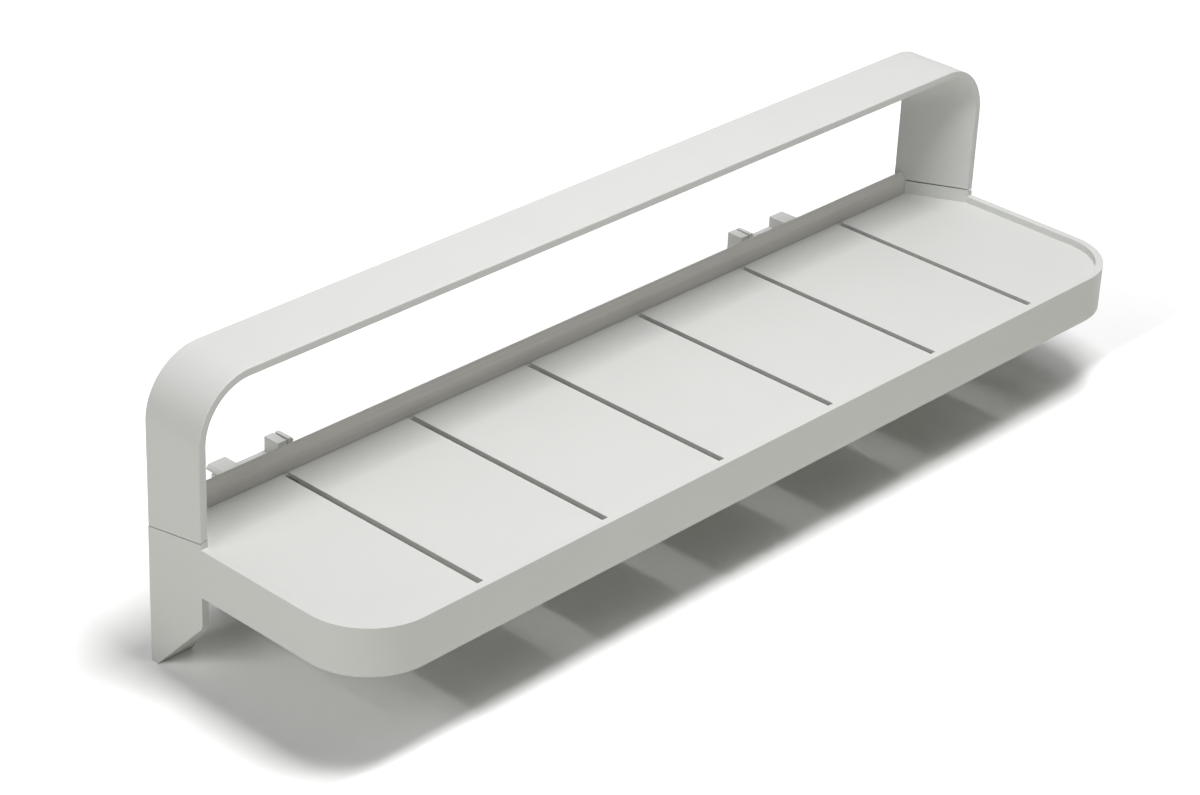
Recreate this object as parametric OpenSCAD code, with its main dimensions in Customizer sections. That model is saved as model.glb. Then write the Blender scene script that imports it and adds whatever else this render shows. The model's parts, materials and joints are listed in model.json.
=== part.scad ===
// Clip-on side table: a long shallow tray with a carrying hoop and two snap-in rear brackets.
// X runs along the length, the tray reaches towards -Y, and Z is up.
// The origin is on the back face, at mid length, level with the tops of the bracket plates.

/* [Tray] */
// Overall length of the tray and of the hoop
length = 900; // [760:10:1100]
// From the back face to the front of the tray
depth = 232.5; // [190:2.5:300]
// Plan radius of the two front corners
corner_r = 57; // [40:1:90]
// Height of the rim above the bracket plates
rim_z = 35; // [32:1:45]
// Height of the outer band
band_h = 40.5; // [38:0.5:55]
// Width of the rim
rim_w = 6.5; // [5:0.5:9]
// Step from the rim down to the floor
rim_step = 6; // [4:0.5:8]
// Thickness of the floor
floor_t = 3.5; // [2.5:0.5:5]
// Thickness of the band below the floor
band_t = 4; // [3:0.5:5]
// From the back face to the front of the rear wall
wall_y = 9.7; // [9:0.1:12]
// Thickness of the rear wall
wall_t = 3; // [2:0.5:4]
// Thickness of the ribs under the floor
rib_t = 2.4; // [1.6:0.2:3.2]
// Height of the ribs under the floor
rib_h = 18; // [10:1:22]
// Number of ribs that run along the length
long_ribs = 2; // [1:1:4]

/* [Drain slots] */
// Number of slots across the floor
slot_count = 6; // [2:1:8]
// Distance from one slot to the next
slot_pitch = 130; // [80:5:140]
// Width of a slot
slot_w = 7.5; // [4:0.5:10]
// From the front of the tray to the end of a slot
slot_front = 12; // [10:0.5:30]
// Gap between a slot's edge and the rib beside it
slot_lip = 3; // [1:0.5:6]

/* [Legs] */
// Depth of a leg and of the hoop, front to back
leg_depth = 59.5; // [50:0.5:75]
// Thickness of a leg and of the hoop at the front edge
nose_t = 6.5; // [5:0.5:9]
// Thickness of a leg and of the hoop at the back
heel_t = 38; // [34:0.5:46]
// Drop from the bracket plates to the toe of a leg
leg_drop = 88; // [70:1:120]
// Drop from the bracket plates to the start of the slanted toe
toe_start = 32; // [20:1:50]
// Flat length at the bottom of the toe
toe_flat = 6.5; // [4:0.5:12]
// Wall thickness of the legs
leg_wall = 3.2; // [2.4:0.2:4]
// Solid length behind the front edge of a leg and of the hoop
nose_solid = 10; // [8:0.5:14]

/* [Hoop] */
// Height of the hoop above the bracket plates
hoop_z = 167; // [140:1:220]
// Outer radius of the hoop corners
hoop_r = 50; // [46:1:60]
// Wall thickness of the hoop
hoop_wall = 3; // [2.4:0.2:4]
// Width of the small bevel along the front edge
nose_bevel = 0.8; // [0.4:0.1:1.2]
// Distance between the webs inside the top of the hoop
web_pitch = 130; // [90:10:200]
// Thickness of the webs inside the hoop
web_t = 2; // [1.6:0.2:3]

/* [Seam between hoop and tray] */
// Height of the seam on the inner faces of the legs
seam_z = 41.4; // [40:0.2:45]
// Fall of the seam towards the outside
seam_tilt = 20; // [0:1:25]
// Width of the seam
seam_gap = 0.6; // [0.4:0.1:1]
// Thickness of the plates on both sides of the seam
seam_plate = 4; // [3:0.5:6]

/* [Covers] */
// Thickness of the rear covers
cover_t = 2.5; // [2:0.5:3.5]
// Gap round the rear covers
cover_gap = 0.3; // [0.2:0.1:0.6]
// Length of the snap lugs in front of the covers
lug_l = 8; // [5:0.5:12]
// Width of a snap lug
lug_w = 10; // [6:1:14]
// Thickness of a snap lug
lug_t = 1.8; // [1.2:0.2:2.4]

/* [Rear rail] */
// Height of the rail's top edge above the bracket plates
rail_z = 49.5; // [48:0.5:60]
// Wall thickness of the rail
rail_t = 1.8; // [1.4:0.2:2.4]
// Lean of the rail's front face, from its foot to its top edge
rail_lean = 3.2; // [1:0.2:5]
// Width of the rail's top edge
rail_edge = 1.2; // [0.8:0.2:2]
// Drop of the rail's bevel behind its top edge
rail_bevel = 5; // [2:0.5:8]
// Number of screws along the rail
rail_screws_n = 6; // [4:2:8]
// Distance from a leg to the nearest rail screw
rail_screw_inset = 37; // [25:1:50]
// Height of the rail screws above the bracket plates
rail_screw_z = 13; // [11:0.5:15]
// Depth of the bosses that take the rail screws
rail_boss_l = 16; // [12:1:22]

/* [Ties between hoop and legs] */
// Outer radius of the tie tubes
tie_r = 6; // [4:0.5:6.5]
// Wall of the tie tubes
tie_wall = 1.5; // [1:0.25:2.5]
// Length of a tie tube below the seam
tie_down = 42; // [30:1:60]
// Length of a tie tube above the seam
tie_up = 48; // [30:1:60]
// From the outer face of a leg to the tie's axis
tie_x = 13.5; // [12:0.5:15]
// From the back face to the tie's axis
tie_y = 17; // [15:0.5:20]
// Wall of the sockets round the tie tubes
socket_wall = 2.4; // [2:0.2:3]
// Distance of the cross screws from the seam
cross_screw_z = 28; // [20:1:35]

/* [Brackets] */
// Distance from mid length to the inner edge of a bracket
bracket_x = 264; // [200:2:280]
// Width of a bracket plate
bracket_w = 70; // [64:1:90]
// Thickness of a bracket plate
plate_t = 5.5; // [5:0.5:8]
// Reach of a bracket behind the back face
reach = 65.5; // [50:0.5:90]
// Length of a bracket under the tray
tail = 62; // [55:1:80]
// Plan radius of the bracket's front corners
tail_r = 8; // [4:1:12]
// Length of the jaws along the bracket
jaw_l = 16; // [10:0.5:18]
// Height of the forked jaw above the plate
fork_h = 12.5; // [10:0.5:16]
// Width of the fixed half of the forked jaw
fork_w = 9; // [6:0.5:12]
// Width of the slit in the forked jaw
slit_w = 2; // [1.6:0.1:3]
// Height of the plain jaw above the plate
hook_h = 10; // [8:0.5:14]
// Thickness of the plain jaw's overhanging lip
hook_lip_t = 4.5; // [3:0.5:6]
// Width of the plain jaw's foot
hook_w = 7; // [5:0.5:9]
// Overhang of the plain jaw's lip
hook_lip = 12; // [6:0.5:14]
// Length of the plain jaw along the bracket
hook_l = 20; // [12:1:24]
// Distance from the plain jaw to the plate's outer edge
hook_inset = 14; // [12:0.5:18]
// From the plate's inner edge to the first row of screws
bolt_inset = 12; // [10:0.5:14]
// Distance between the two rows of screws
bolt_pitch_x = 30; // [26:1:34]
// From the back face to the rear screws
bolt_y = 20; // [18:0.5:24]
// Distance from the rear to the front screws
bolt_pitch_y = 30; // [26:1:32]

/* [Latches] */
// Thickness of a latch tongue
tongue_t = 5; // [3:0.5:6]
// Gap under a latch tongue
tongue_gap = 0.5; // [0.4:0.1:1]
// Overhang of the barb at the top of a tongue
barb = 1.2; // [0.6:0.1:2]
// Height of the barb
barb_h = 4; // [3:0.5:6]
// Radius of the round foot of a latch
foot_r = 1.9; // [1.4:0.1:2]
// Width of the neck above the round foot
neck_w = 1.6; // [1.2:0.1:2]

/* [Fasteners] */
// Radius of the thread of the bracket screws
screw_r = 2.5; // [2:0.25:3]
// Radius of the heads of the bracket screws
head_r = 4.6; // [4:0.2:6]
// Thickness of the heads of the bracket screws
head_t = 2.6; // [2:0.1:3.2]
// Length of the bracket screws under the head
screw_l = 14; // [10:1:18]
// Outer radius of the threaded inserts
insert_r = 3.6; // [3.2:0.1:4]
// Length of the threaded inserts
insert_l = 9; // [6:0.5:12]
// Wall round the inserts in the tray's bosses
boss_wall = 2.6; // [2:0.2:4]
// Radius of the thread of the rail and cross screws
small_screw_r = 2; // [1.5:0.25:2.5]
// Radius of the heads of the rail and cross screws
small_head_r = 3.7; // [3.2:0.1:4.2]
// Radial clearance of a screw in a drilled hole
hole_gap = 0.3; // [0.2:0.1:0.5]
// Radial clearance of a thread, an insert, a tie tube or a latch foot in its seat
seat_gap = 0.05; // [0.03:0.01:0.1]

/* [Hidden] */

SHELL = [0.90, 0.90, 0.87];
RAIL = [0.86, 0.86, 0.84];
STEEL = [0.62, 0.63, 0.65];
BRASS = [0.80, 0.66, 0.36];

ROUND = 96;
SMALL = 32;
EPS = 0.01;

half = length / 2;
big = 2 * length;
floor_z = rim_z - rim_step;
under_z = floor_z - floor_t;
band_z = rim_z - band_h;
wall_back = wall_y - wall_t;
rib_z = under_z - rib_h;
boss_r = insert_r + boss_wall;
wedge = atan((heel_t - nose_t) / leg_depth);
toe_slope = (leg_drop - toe_start) / (leg_depth - toe_flat);
fork_all = fork_w + slit_w + tongue_t;
latch_axis_z = -plate_t / 2;
small_head_t = small_head_r - small_screw_r;
tie_top_wall = tie_r + socket_wall;
cross_boss_y = cover_t + cover_gap + 2.5;
slot_line = [for (i = [0 : slot_count - 1]) (i - (slot_count - 1) / 2) * slot_pitch];
rail_screw_pitch = (length - 2 * heel_t - 2 * rail_screw_inset) / (rail_screws_n - 1);
rail_screw_line = [for (i = [0 : rail_screws_n - 1]) (i - (rail_screws_n - 1) / 2) * rail_screw_pitch];
rib_back = rail_t + rail_boss_l + cover_gap;

// Height of the seam plane at the tie's axis
tie_seam_z = seam_z - tan(seam_tilt) * (cos(wedge) * (nose_t - tie_x)
             + sin(wedge) * (leg_depth - tie_y));

// Thickness of a leg at s mm in front of the back face
function thick(s) = heel_t - s * tan(wedge);

// Edge of the bracket's forked jaw, which points the same way on both brackets
function fork_x(side) = side > 0 ? bracket_x : -bracket_x - fork_all;

module both_sides() {
  children();
  mirror([1, 0, 0]) children();
}

module on_side(side) {
  mirror([side > 0 ? 0 : 1, 0, 0]) children();
}

// Section of the legs and the hoop: inward distance across, distance from the back face up
module wedge_section() {
  polygon([[0, 0], [0, leg_depth - nose_bevel], [nose_bevel, leg_depth],
           [nose_t - nose_bevel, leg_depth], [thick(leg_depth - nose_bevel), leg_depth - nose_bevel],
           [heel_t, 0]]);
}

// The room inside that section, open at the back
module room_section(wall) {
  shift = wall / cos(wedge);
  front = leg_depth - nose_solid;
  polygon([[wall, -EPS], [wall, front], [thick(front) - shift, front], [thick(-EPS) - shift, -EPS]]);
}

// A strip of that room, from the back face to s mm in front of it, gap mm clear of the walls
module strip_section(wall, gap, s) {
  shift = wall / cos(wedge) + gap;
  polygon([[wall + gap, 0], [wall + gap, s], [thick(s) - shift, s], [thick(0) - shift, 0]]);
}

// Extrudes a section down the right leg
module along_leg(low, high) {
  translate([half, 0, low]) rotate([0, 0, 180]) linear_extrude(high - low) children();
}

// Extrudes a section along the whole hoop, both legs, both corners and the top
module along_hoop() {
  both_sides() {
    along_leg(seam_z - heel_t, hoop_z - hoop_r) children();
    translate([half - hoop_r, 0, hoop_z - hoop_r]) rotate([90, 0, 0])
      rotate_extrude(angle = 90, $fn = ROUND) translate([hoop_r, 0]) mirror([1, 0]) children();
  }
  translate([0, 0, hoop_z]) rotate([0, 90, 180])
    linear_extrude(length - 2 * hoop_r, center = true) children();
}

// Everything above the seam plane of the right leg, moved up by lift
module above_seam(lift) {
  translate([half - nose_t, -leg_depth, seam_z + lift]) rotate([0, seam_tilt, wedge])
    translate([-big / 2, -big / 2, 0]) cube(big);
}

// Side view of a leg below the seam, drawn in by wall, across the right leg
module leg_side(wall) {
  inset = wall > 0 ? nose_solid : 0;
  lift = wall * sqrt(1 + toe_slope * toe_slope);
  flat_y = (lift + leg_drop - toe_start - wall) / toe_slope - leg_depth;
  back = wall > 0 ? EPS : 0;
  top = seam_z + heel_t;
  translate([half - 2 * heel_t, 0, 0]) rotate([90, 0, 90]) linear_extrude(3 * heel_t)
    polygon([[inset - leg_depth, top], [inset - leg_depth, lift - toe_start - toe_slope * inset],
             [flat_y, wall - leg_drop], [back, wall - leg_drop], [back, top]]);
}

// Places the axis of the right tie tube
module tie_axis(z) {
  translate([half - tie_x, -tie_y, z]) children();
}

// Places the axis of a cross screw on the right, -1 below the seam and 1 above, pointing back
module cross_axis(level) {
  tie_axis(tie_seam_z + level * cross_screw_z) rotate([-90, 0, 0]) children();
}

// Socket for the tie tube with its web and the seat of the cross screw
module tie_socket(low, high, level) {
  tie_axis(low) cylinder(h = high - low, r = tie_top_wall, $fn = ROUND);
  tie_axis(low) translate([tie_x - heel_t, -socket_wall / 2, 0])
    cube([heel_t - leg_wall / 2, socket_wall, high - low]);
  cross_axis(level) cylinder(h = tie_y - cross_boss_y, r = small_head_r + 1, $fn = SMALL);
}

module tie_holes(level) {
  tie_axis(tie_seam_z - tie_down) cylinder(h = tie_down + tie_up, r = tie_r + seat_gap, $fn = ROUND);
  cross_axis(level) cylinder(h = tie_y, r = small_screw_r + hole_gap, $fn = SMALL);
}

// The right leg as part of the tray, a hollow wedge with a slanted toe, before the cut at its seam
module right_leg() {
  difference() {
    intersection() {
      along_leg(-leg_drop, seam_z + heel_t) wedge_section();
      leg_side(0);
    }
    difference() {
      intersection() {
        along_leg(-leg_drop, seam_z) room_section(leg_wall);
        leg_side(leg_wall);
      }
      above_seam(-seam_plate / cos(seam_tilt));
    }
  }
  intersection() {
    tie_socket(tie_seam_z - tie_down - socket_wall, seam_z, -1);
    along_leg(-leg_drop, seam_z) room_section(leg_wall / 2);
  }
}

// Plan outline of the tray, drawn in by inset, up to back mm from the back face
module plan(inset, back) {
  r = corner_r - inset;
  w = half - inset;
  front = inset - depth;
  translate([-w, front + r]) square([2 * w, -back - front - r]);
  translate([r - w, front]) square([2 * (w - r), r + EPS]);
  for (s = [-1, 1]) translate([s * (w - r), front + r]) circle(r, $fn = ROUND);
}

// Plan of the space between the legs, gap mm clear of them, from s0 to s1 mm off the back face
module between_legs(gap, s0, s1) {
  x0 = half - thick(s0) - gap;
  x1 = half - thick(s1) - gap;
  polygon([[-x0, -s0], [-x1, -s1], [x1, -s1], [x0, -s0]]);
}

// The four screw axes of the right bracket
module bracket_screw_axes() {
  for (x = [0, bolt_pitch_x]) for (y = [0, bolt_pitch_y])
    translate([bracket_x + bolt_inset + x, -bolt_y - y, 0]) children();
}

// The screw axes of the rear rail, pointing forwards from the back face
module rail_screw_axes() {
  for (x = rail_screw_line) translate([x, 0, rail_screw_z]) rotate([90, 0, 0]) children();
}

// Outer band with the rim that overhangs its inner face, and the rear wall
module tray_shell() {
  difference() {
    translate([0, 0, band_z]) linear_extrude(band_h) plan(0, wall_back);
    translate([0, 0, floor_z - EPS]) linear_extrude(band_h) plan(rim_w, wall_y);
    translate([0, 0, band_z - EPS]) linear_extrude(floor_z - band_z + EPS) plan(band_t, wall_y);
  }
  translate([0, 0, band_z]) linear_extrude(seam_z - seam_gap - band_z)
    between_legs(-leg_wall / 2, wall_back, wall_y);
}

// Plan of the floor panel, clear of the band, the rear wall and the legs
module floor_plan() {
  shift = cover_gap / cos(wedge);
  front = leg_depth + cover_gap;
  difference() {
    plan(band_t + cover_gap, wall_y + cover_gap);
    both_sides() translate([half, 0]) rotate(180)
      polygon([[-1, -1], [-1, front], [thick(front) + shift, front], [thick(-1) + shift, -1]]);
  }
}

// Ribs beside every slot, and ribs along the length that leave the way under the slots free
module tray_ribs() {
  side_x = slot_w / 2 + slot_lip + rib_t / 2;
  for (x = slot_line) for (s = [-1, 1])
    translate([x + s * side_x - rib_t / 2, -depth, rib_z]) cube([rib_t, depth - rib_back, rib_h + EPS]);
  difference() {
    for (i = [0 : long_ribs])
      translate([-half, -leg_depth - rib_t - i * (depth - leg_depth) / (long_ribs + 1), rib_z])
        cube([length, rib_t, rib_h + EPS]);
    for (x = slot_line)
      translate([x - side_x, -2 * depth, rib_z - EPS]) cube([2 * side_x, 3 * depth, rib_h]);
  }
}

module tray() {
  color(SHELL) difference() {
    union() {
      difference() {
        tray_shell();
        both_sides() along_leg(band_z - EPS, rim_z + EPS) room_section(leg_wall);
      }
      both_sides() right_leg();
      rail_screw_axes() translate([0, 0, rail_t]) cylinder(h = rail_boss_l, r = boss_r, $fn = ROUND);
    }
    both_sides() above_seam(0);
    both_sides() tie_holes(-1);
    rail_screw_axes() translate([0, 0, rail_t - EPS])
      cylinder(h = rail_boss_l - boss_wall, r = insert_r + seat_gap, $fn = ROUND);
    both_sides() translate([bracket_x - cover_gap, -wall_y - EPS, band_z - EPS])
      cube([bracket_w + 2 * cover_gap, wall_y, cover_gap - band_z + EPS]);
  }
}

// Slotted floor panel under the rim's ledge, with its ribs and the bosses that carry the brackets
module tray_floor() {
  color(SHELL) difference() {
    union() {
      translate([0, 0, under_z]) linear_extrude(floor_t) floor_plan();
      intersection() {
        tray_ribs();
        translate([0, 0, rib_z - EPS]) linear_extrude(rib_h + 2 * EPS) floor_plan();
      }
      both_sides() bracket_screw_axes() cylinder(h = under_z + EPS, r = boss_r, $fn = ROUND);
    }
    for (x = slot_line)
      translate([x - slot_w / 2, slot_front - depth, under_z - EPS])
        cube([slot_w, depth - slot_front - wall_y, floor_t + 2 * EPS]);
    both_sides() bracket_screw_axes() translate([0, 0, -EPS])
      cylinder(h = under_z - floor_t / 2, r = insert_r + seat_gap, $fn = ROUND);
  }
}

// Section of the rear rail, a channel that is open towards the tray
module rail_section() {
  lip = wall_y - rail_lean;
  low = seam_z + seam_gap;
  difference() {
    polygon([[-wall_back, band_z], [0, band_z], [0, rail_z - rail_bevel], [rail_edge - lip, rail_z],
             [-lip, rail_z], [-wall_y, low], [-wall_back, low]]);
    polygon([[-wall_back - EPS, band_z + rail_t], [-rail_t, band_z + rail_t],
             [-rail_t, rail_z - rail_bevel - rail_t / 2], [rail_edge - lip, rail_z - 2 * rail_t],
             [rail_t - wall_y, low], [rail_t - wall_y, low - EPS], [-wall_back - EPS, low - EPS]]);
  }
}

module rear_rail() {
  color(RAIL) difference() {
    intersection() {
      translate([-half, 0, 0]) rotate([90, 0, 90]) linear_extrude(length) rail_section();
      translate([0, 0, band_z]) linear_extrude(rail_z - band_z) between_legs(cover_gap, 0, wall_y);
    }
    both_sides() translate([bracket_x - cover_gap, -wall_y, band_z - EPS])
      cube([bracket_w + 2 * cover_gap, 2 * wall_y, cover_gap - band_z + EPS]);
    rail_screw_axes() translate([0, 0, -EPS])
      cylinder(h = wall_y, r = small_screw_r + hole_gap, $fn = SMALL);
    rail_screw_axes() translate([0, 0, -EPS])
      cylinder(h = small_head_t + seat_gap, r1 = small_head_r + seat_gap, r2 = small_screw_r + seat_gap,
               $fn = SMALL);
  }
}

module hoop() {
  color(SHELL) difference() {
    union() {
      difference() {
        along_hoop() wedge_section();
        along_hoop() room_section(hoop_wall);
      }
      intersection() {
        along_hoop() strip_section(hoop_wall / 2, 0, leg_depth - nose_solid / 2);
        union() {
          both_sides() difference() {
            along_leg(seam_z - heel_t, seam_z + heel_t) square([heel_t, leg_depth]);
            above_seam(seam_gap + seam_plate / cos(seam_tilt));
          }
          both_sides() tie_socket(tie_seam_z, tie_seam_z + tie_up + socket_wall, 1);
          hoop_webs();
        }
      }
    }
    both_sides() difference() {
      translate([0, -2 * leg_depth, seam_z - 3 * heel_t]) cube([big, 3 * leg_depth, 4 * heel_t]);
      above_seam(seam_gap);
    }
    both_sides() tie_holes(1);
    along_hoop() translate([0, -EPS]) strip_section(hoop_wall, 0, cover_t + EPS);
  }
}

// Webs across the top of the hoop, which stiffen it and carry the rear cover
module hoop_webs() {
  n = floor((length - 2 * hoop_r) / web_pitch / 2);
  for (i = [-n : n])
    translate([i * web_pitch - web_t / 2, -leg_depth, hoop_z - heel_t]) cube([web_t, leg_depth, heel_t]);
}

module hoop_back_cover() {
  color(SHELL) difference() {
    union() {
      along_hoop() strip_section(hoop_wall, cover_gap, cover_t);
      for (s = [-1, 1])
        translate([s * web_pitch * 1.5 - lug_w / 2, -cover_t - lug_l, hoop_z - hoop_wall - cover_gap - lug_t])
          cube([lug_w, lug_l + EPS, lug_t]);
    }
    both_sides() difference() {
      translate([0, -leg_depth, seam_z - 3 * heel_t]) cube([big, 2 * leg_depth, 4 * heel_t]);
      above_seam(seam_gap + seam_plate / cos(seam_tilt) + cover_gap);
    }
  }
}

module leg_cover(side) {
  color(SHELL) on_side(side) {
    difference() {
      along_leg(leg_wall + cover_gap - leg_drop, seam_z) strip_section(leg_wall, cover_gap, cover_t);
      above_seam(-seam_plate / cos(seam_tilt) - cover_gap);
    }
    for (z = [-leg_drop / 2, -leg_drop / 4])
      translate([half - leg_wall - cover_gap - lug_t, -cover_t - lug_l, z]) cube([lug_t, lug_l + EPS, lug_w]);
  }
}

module tie_tube(side) {
  color(STEEL) on_side(side) difference() {
    tie_axis(tie_seam_z - tie_down) cylinder(h = tie_down + tie_up, r = tie_r, $fn = ROUND);
    tie_axis(tie_seam_z - tie_down - EPS)
      cylinder(h = tie_down + tie_up + 2 * EPS, r = tie_r - tie_wall, $fn = ROUND);
    for (level = [-1, 1]) cross_axis(level)
      cylinder(h = tie_y, r = small_screw_r + seat_gap, $fn = SMALL);
  }
}

// Pan-headed screw with a hexagon socket, its head's seat at the origin, its shank pointing up
module screw(shank_r, cap_r, cap_t, shank_l) {
  difference() {
    union() {
      translate([0, 0, -cap_t]) cylinder(h = cap_t, r = cap_r, $fn = SMALL);
      cylinder(h = shank_l, r = shank_r, $fn = SMALL);
    }
    translate([0, 0, -cap_t - EPS]) cylinder(h = cap_t / 2, r = cap_r / 2.5, $fn = 6);
  }
}

module cross_screws() {
  color(STEEL) both_sides() for (level = [-1, 1]) cross_axis(level)
    translate([0, 0, tie_y - cross_boss_y]) mirror([0, 0, 1])
      screw(small_screw_r, small_head_r, small_head_t, tie_y - cross_boss_y - tie_r / 2);
}

module rail_screws() {
  color(STEEL) rail_screw_axes() difference() {
    union() {
      cylinder(h = small_head_t, r1 = small_head_r, r2 = small_screw_r, $fn = SMALL);
      cylinder(h = rail_t + insert_l + 1, r = small_screw_r, $fn = SMALL);
    }
    translate([0, 0, -EPS]) cylinder(h = small_head_t * 0.7, r = small_head_r / 2.5, $fn = 6);
  }
}

module insert(bore_r) {
  difference() {
    cylinder(h = insert_l, r = insert_r, $fn = ROUND);
    translate([0, 0, -EPS]) cylinder(h = insert_l + 2 * EPS, r = bore_r, $fn = SMALL);
  }
}

module rail_inserts() {
  color(BRASS) rail_screw_axes() translate([0, 0, rail_t + cover_gap]) insert(small_screw_r + seat_gap);
}

module bracket_inserts() {
  color(BRASS) both_sides() bracket_screw_axes()
    translate([0, 0, cover_gap]) insert(screw_r + seat_gap);
}

module bracket_screws() {
  color(STEEL) both_sides() bracket_screw_axes()
    translate([0, 0, head_t - plate_t]) screw(screw_r, head_r, head_t, screw_l);
}

// Plate of the right bracket with its plain jaw
module bracket_plate() {
  translate([bracket_x, 0, -plate_t]) linear_extrude(plate_t) {
    translate([0, tail_r - tail]) square([bracket_w, tail + reach - tail_r]);
    translate([tail_r, -tail]) square([bracket_w - 2 * tail_r, tail_r + EPS]);
    for (x = [tail_r, bracket_w - tail_r]) translate([x, tail_r - tail]) circle(tail_r, $fn = ROUND);
  }
  hook_x = bracket_x + bracket_w - hook_inset;
  end = hook_w + hook_lip;
  slope = hook_lip_t / 2;
  translate([hook_x, reach, 0]) rotate([90, 0, 0]) linear_extrude(hook_l)
    polygon([[0, -EPS], [0, hook_h], [end - slope, hook_h], [end, hook_h - slope],
             [end, hook_h - hook_lip_t], [hook_w, hook_h - hook_lip_t], [hook_w, -EPS]]);
}

module bracket(side) {
  x = fork_x(side);
  axis_x = x + fork_w + slit_w + tongue_t / 2;
  color(SHELL) difference() {
    union() {
      on_side(side) bracket_plate();
      translate([x, reach - jaw_l, -EPS]) cube([fork_w, jaw_l, fork_h + EPS]);
    }
    on_side(side) bracket_screw_axes() {
      translate([0, 0, -plate_t - EPS]) cylinder(h = head_t + EPS, r = head_r + hole_gap, $fn = SMALL);
      translate([0, 0, -plate_t]) cylinder(h = 2 * plate_t, r = screw_r + hole_gap, $fn = SMALL);
    }
    translate([axis_x, reach + EPS, latch_axis_z]) rotate([90, 0, 0])
      cylinder(h = jaw_l, r = foot_r + seat_gap, $fn = ROUND);
    translate([axis_x - neck_w, reach - jaw_l + EPS, latch_axis_z]) cube([2 * neck_w, jaw_l, plate_t]);
  }
}

// Sprung tongue on a round foot that lies in the bracket's plate
module latch(side) {
  x = fork_x(side) + fork_w + slit_w;
  mid = tongue_t / 2;
  long = jaw_l - 2 * cover_gap;
  lead = barb_h / 4;
  color(SHELL) translate([x, reach, 0]) rotate([90, 0, 0]) {
    linear_extrude(long)
      polygon([[0, tongue_gap], [0, fork_h], [tongue_t - lead, fork_h], [tongue_t + barb, fork_h - barb_h + lead],
               [tongue_t + barb, fork_h - barb_h], [tongue_t, fork_h - barb_h], [tongue_t, tongue_gap]]);
    translate([mid - neck_w / 2, latch_axis_z, 0])
      cube([neck_w, tongue_gap - latch_axis_z + EPS, long]);
    translate([mid, latch_axis_z, 0]) cylinder(h = long, r = foot_r, $fn = ROUND);
  }
}

tray();
tray_floor();
rear_rail();
hoop();
hoop_back_cover();
leg_cover(-1);  // leg_cover_left
leg_cover(1);  // leg_cover_right
tie_tube(-1);  // tie_tube_left
tie_tube(1);  // tie_tube_right
cross_screws();
rail_screws();
rail_inserts();
bracket(-1);  // bracket_left
bracket(1);  // bracket_right
bracket_screws();
bracket_inserts();
latch(-1);  // latch_left
latch(1);  // latch_right
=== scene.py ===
"""Looks of a clip-on side table: a moulded tray with drain slots, a broad hoop over its back, a painted
rail and two snap brackets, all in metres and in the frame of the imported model."""

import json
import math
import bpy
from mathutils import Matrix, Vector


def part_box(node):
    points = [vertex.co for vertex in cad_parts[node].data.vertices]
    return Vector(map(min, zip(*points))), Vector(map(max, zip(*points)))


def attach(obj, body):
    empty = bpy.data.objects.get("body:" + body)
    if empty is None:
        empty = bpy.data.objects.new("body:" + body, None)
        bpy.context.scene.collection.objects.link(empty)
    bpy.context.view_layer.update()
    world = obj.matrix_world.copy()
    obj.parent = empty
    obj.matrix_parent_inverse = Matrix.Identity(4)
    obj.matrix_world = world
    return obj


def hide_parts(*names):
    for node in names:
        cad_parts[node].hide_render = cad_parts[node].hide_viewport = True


bl_info = {
    "name": "Clip-on side table",
    "version": (1, 0, 0),
    "blender": (4, 5, 0),
    "location": "3D View > Sidebar > Side Table",
    "description": "Models the visible pieces of a clip-on side table and gives every piece its finish",
    "category": "Add Mesh",
}

import bmesh
import bpy
from bpy.props import FloatProperty, FloatVectorProperty, IntProperty, PointerProperty
from mathutils import Euler, Matrix, Vector

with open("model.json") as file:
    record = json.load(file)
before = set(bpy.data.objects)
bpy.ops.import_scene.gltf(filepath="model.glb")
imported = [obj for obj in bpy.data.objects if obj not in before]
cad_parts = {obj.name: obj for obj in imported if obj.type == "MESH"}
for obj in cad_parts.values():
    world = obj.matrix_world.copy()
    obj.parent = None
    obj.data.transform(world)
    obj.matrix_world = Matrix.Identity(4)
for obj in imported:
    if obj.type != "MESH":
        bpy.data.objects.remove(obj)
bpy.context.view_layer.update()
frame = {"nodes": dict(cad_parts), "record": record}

MM = 0.001
SHELF = "shelf"
SIDES = {"left": -1, "right": 1}
# Two places nearer than this are the same place in an exact outline, and in a shape after its cuts
SAME = 0.01 * MM
NEAR = 0.1 * MM
# Joined solids reach this far into each other
OVERLAP = 0.1 * MM
# Cutters reach this far out of what they cut
PAST = MM

tray_low, tray_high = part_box("tray")
hoop_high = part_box("hoop")[1]
rail_low, rail_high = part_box("rear_rail")
bracket_low, bracket_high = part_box("bracket_right")
latch_boxes = {side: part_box(f"latch_{side}") for side in SIDES}


def length_property(name, description, millimetres):
    """A size in metres whose default is written in millimetres"""
    return FloatProperty(name=name, description=description, default=millimetres * MM, unit="LENGTH")


def linear(hex_colour):
    """Turns an sRGB hex colour such as F0EEE8 into linear red, green and blue"""
    shares = [int(hex_colour[i : i + 2], 16) / 255 for i in (0, 2, 4)]
    return [s / 12.92 if s <= 0.04045 else ((s + 0.055) / 1.055) ** 2.4 for s in shares]


def colour_property(name, description, hex_colour):
    return FloatVectorProperty(
        name=name, description=description, subtype="COLOR", size=3, min=0, max=1, default=linear(hex_colour)
    )


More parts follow.
